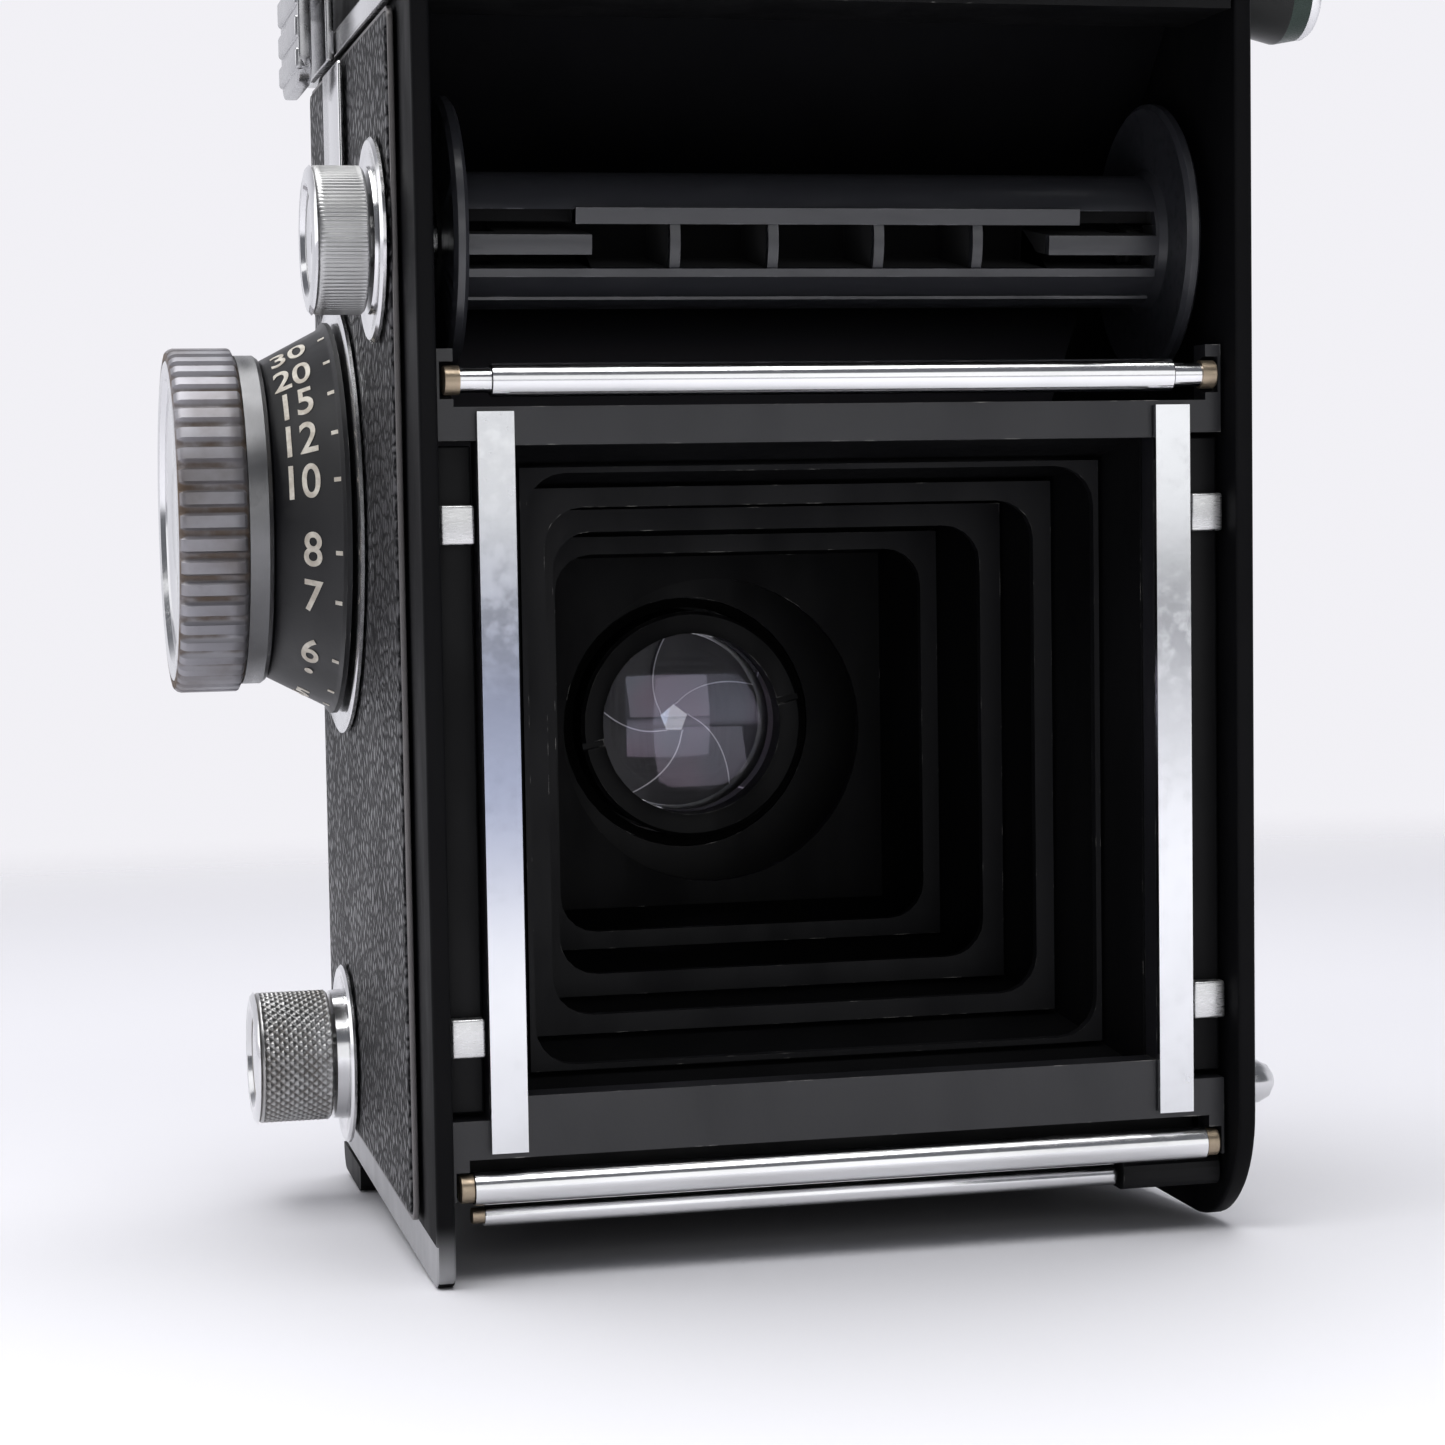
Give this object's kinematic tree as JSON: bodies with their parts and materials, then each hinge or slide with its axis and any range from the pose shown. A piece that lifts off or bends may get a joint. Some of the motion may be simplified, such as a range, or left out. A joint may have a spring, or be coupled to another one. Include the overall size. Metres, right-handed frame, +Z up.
{
  "type": "twin lens reflex camera",
  "caption": "Box-shaped film camera with a viewing lens above a taking lens, a folding finder hood, a swung-up back, a take-up spool, focus and spool knobs and a winding crank",
  "frame": {"origin": "middle of the underside of the leather-covered front sill, on the surface the camera stands on", "axes": "+Z up, lenses towards -Y, film side towards +Y, focus knob on the +X side"},
  "size_m": [0.1091, 0.1132, 0.2376],
  "materials": {
    "black_paint": "satin black enamel",
    "matt_black": "flat anti-reflection black",
    "leatherette": "grained black covering",
    "chrome": "polished plating",
    "satin_metal": "satin",
    "lens_panel": "satin grey",
    "spool_plastic": "moulded black",
    "glass": "clear",
    "mirror": "front silvered"
  },
  "bodies": {
    "camera_body": {"baffle_frame_1": "matt_black", "baffle_frame_2": "matt_black", "baffle_frame_3": "matt_black", "baffle_frame_4": "matt_black", "chamber_roof": "black_paint", "feeler_bracket": "black_paint", "film_rail_left": "satin_metal", "film_rail_right": "satin_metal", "focus_ring": "chrome", "focusing_screen": "glass", "front_sill": "leatherette", "front_wall": "black_paint", "gate_frame": "matt_black", "guide_left": "satin_metal", "guide_right": "satin_metal", "hood_base": "black_paint", "index_plate": "chrome", "left_cheek": "black_paint", "left_leather": "leatherette", "light_chamber": "matt_black", "lower_knob_ring": "chrome", "mirror_wall": "matt_black", "reflex_mirror": "mirror", "right_cheek": "black_paint", "right_leather": "leatherette", "side_stud": "chrome", "strap_lug_left": "chrome", "strap_lug_right": "chrome", "upper_knob_ring": "chrome"},
    "focus_controls": {"focus_knob": "satin_metal", "focus_dial": "black_paint"},
    "lens_standard": {"lens_panel": "lens_panel", "taking_barrel": "black_paint", "taking_front_lens": "glass", "taking_rear_lens": "glass", "iris": "satin_metal", "viewing_barrel": "black_paint", "viewing_lens": "glass"},
    "take_up": {"takeup_spool": "spool_plastic", "spool_drive_key": "satin_metal"},
    "crank": {"crank_hub": "chrome", "crank_arm": "chrome"},
    "crank_handle": {"crank_handle": "black_paint"},
    "upper_spool_knob": {"upper_spool_knob": "satin_metal"},
    "lower_spool_knob": {"lower_spool_knob": "satin_metal"},
    "upper_roller": {"upper_roller": "chrome"},
    "lower_roller": {"lower_roller": "chrome"},
    "feeler_roller": {"feeler_roller": "chrome"},
    "aperture_wheel": {"aperture_wheel": "chrome"},
    "speed_wheel": {"speed_wheel": "chrome"},
    "shutter_release": {"shutter_release": "chrome"},
    "back": {"back_door": "black_paint", "tripod_socket": "satin_metal"},
    "pressure_plate": {"pressure_plate": "satin_metal"},
    "door_latch": {"door_latch": "chrome"},
    "hood_left_flap": {"hood_left_flap": "black_paint"},
    "hood_right_flap": {"hood_right_flap": "black_paint"},
    "hood_rear_flap": {"hood_rear_flap": "black_paint"},
    "hood_lid": {"hood_lid": "black_paint"},
    "magnifier": {"magnifier": "glass"}
  },
  "joints": [
    {"name": "focus_turn", "type": "hinge", "parent": "camera_body", "child": "focus_controls", "pos_m": [0, 0.013, 0.0669], "axis": [1, 0, 0], "range_deg": [0, 300]},
    {"name": "standard_slide", "type": "slide", "parent": "camera_body", "child": "lens_standard", "axis": [0, -1, 0], "range_m": [0, 0.01]},
    {"name": "crank_turn", "type": "hinge", "parent": "camera_body", "child": "crank", "pos_m": [0, 0.029, 0.083], "axis": [1, 0, 0], "range_deg": [-190, 190]},
    {"name": "take_up_turn", "type": "hinge", "parent": "camera_body", "child": "take_up", "pos_m": [0, 0.045, 0.0909], "axis": [1, 0, 0], "range_deg": [-190, 190]},
    {"name": "crank_handle_spin", "type": "hinge", "parent": "crank", "child": "crank_handle", "pos_m": [0, 0.029, 0.1162], "axis": [1, 0, 0], "continuous": true},
    {"name": "upper_spool_knob_pull", "type": "slide", "parent": "camera_body", "child": "upper_spool_knob", "axis": [1, 0, 0], "range_m": [0, 0.006], "stiffness_N_per_m": 60},
    {"name": "lower_spool_knob_pull", "type": "slide", "parent": "camera_body", "child": "lower_spool_knob", "axis": [1, 0, 0], "range_m": [0, 0.006], "stiffness_N_per_m": 60},
    {"name": "upper_roller_spin", "type": "hinge", "parent": "camera_body", "child": "upper_roller", "pos_m": [0, 0.0584, 0.0784], "axis": [1, 0, 0], "continuous": true},
    {"name": "lower_roller_spin", "type": "hinge", "parent": "camera_body", "child": "lower_roller", "pos_m": [0, 0.0581, 0.0107], "axis": [1, 0, 0], "continuous": true},
    {"name": "feeler_roller_spin", "type": "hinge", "parent": "camera_body", "child": "feeler_roller", "pos_m": [0, 0.056, 0.0079], "axis": [1, 0, 0], "continuous": true},
    {"name": "aperture_wheel_turn", "type": "hinge", "parent": "lens_standard", "child": "aperture_wheel", "pos_m": [0.019, -0.014, 0.066], "axis": [0, 1, 0], "range_deg": [0, 200]},
    {"name": "speed_wheel_turn", "type": "hinge", "parent": "lens_standard", "child": "speed_wheel", "pos_m": [-0.019, -0.014, 0.066], "axis": [0, 1, 0], "range_deg": [0, 270]},
    {"name": "shutter_release_press", "type": "slide", "parent": "lens_standard", "child": "shutter_release", "axis": [0, 1, 0], "range_m": [0, 0.002], "stiffness_N_per_m": 100},
    {"name": "back_hinge", "type": "hinge", "parent": "camera_body", "child": "back", "pos_m": [0, 0.0645, 0.1135], "axis": [1, 0, 0], "range_deg": [-197, 0]},
    {"name": "pressure_plate_give", "type": "slide", "parent": "back", "child": "pressure_plate", "axis": [0, -0.9563, -0.2924], "range_m": [0, 0.0015], "stiffness_N_per_m": 120},
    {"name": "door_latch_turn", "type": "hinge", "parent": "back", "child": "door_latch", "pos_m": [0, 0.07494, 0.23496], "axis": [0, -0.2924, 0.9563], "range_deg": [0, 90]},
    {"name": "left_flap_fold", "type": "hinge", "parent": "camera_body", "child": "hood_left_flap", "pos_m": [0.03015, 0.02, 0.1222], "axis": [0, 1, 0], "range_deg": [-90, 0], "stiffness_Nm_per_rad": 0.004},
    {"name": "right_flap_fold", "type": "hinge", "parent": "camera_body", "child": "hood_right_flap", "pos_m": [-0.03015, 0.02, 0.1232], "axis": [0, 1, 0], "range_deg": [0, 90], "stiffness_Nm_per_rad": 0.004},
    {"name": "rear_flap_fold", "type": "hinge", "parent": "camera_body", "child": "hood_rear_flap", "pos_m": [0, 0.04435, 0.1242], "axis": [1, 0, 0], "range_deg": [0, 90], "stiffness_Nm_per_rad": 0.004},
    {"name": "lid_fold", "type": "hinge", "parent": "camera_body", "child": "hood_lid", "pos_m": [0, -0.0047, 0.1275], "axis": [1, 0, 0], "range_deg": [-90, 0], "stiffness_Nm_per_rad": 0.008},
    {"name": "magnifier_fold", "type": "hinge", "parent": "hood_lid", "child": "magnifier", "pos_m": [0, -0.00325, 0.1705], "axis": [1, 0, 0], "range_deg": [0, 90]}
  ],
  "couplings": [
    {"joint": "standard_slide", "follows": "focus_turn", "m_per_rad": 0.0019099},
    {"joint": "take_up_turn", "follows": "crank_turn", "ratio": 1}
  ]
}
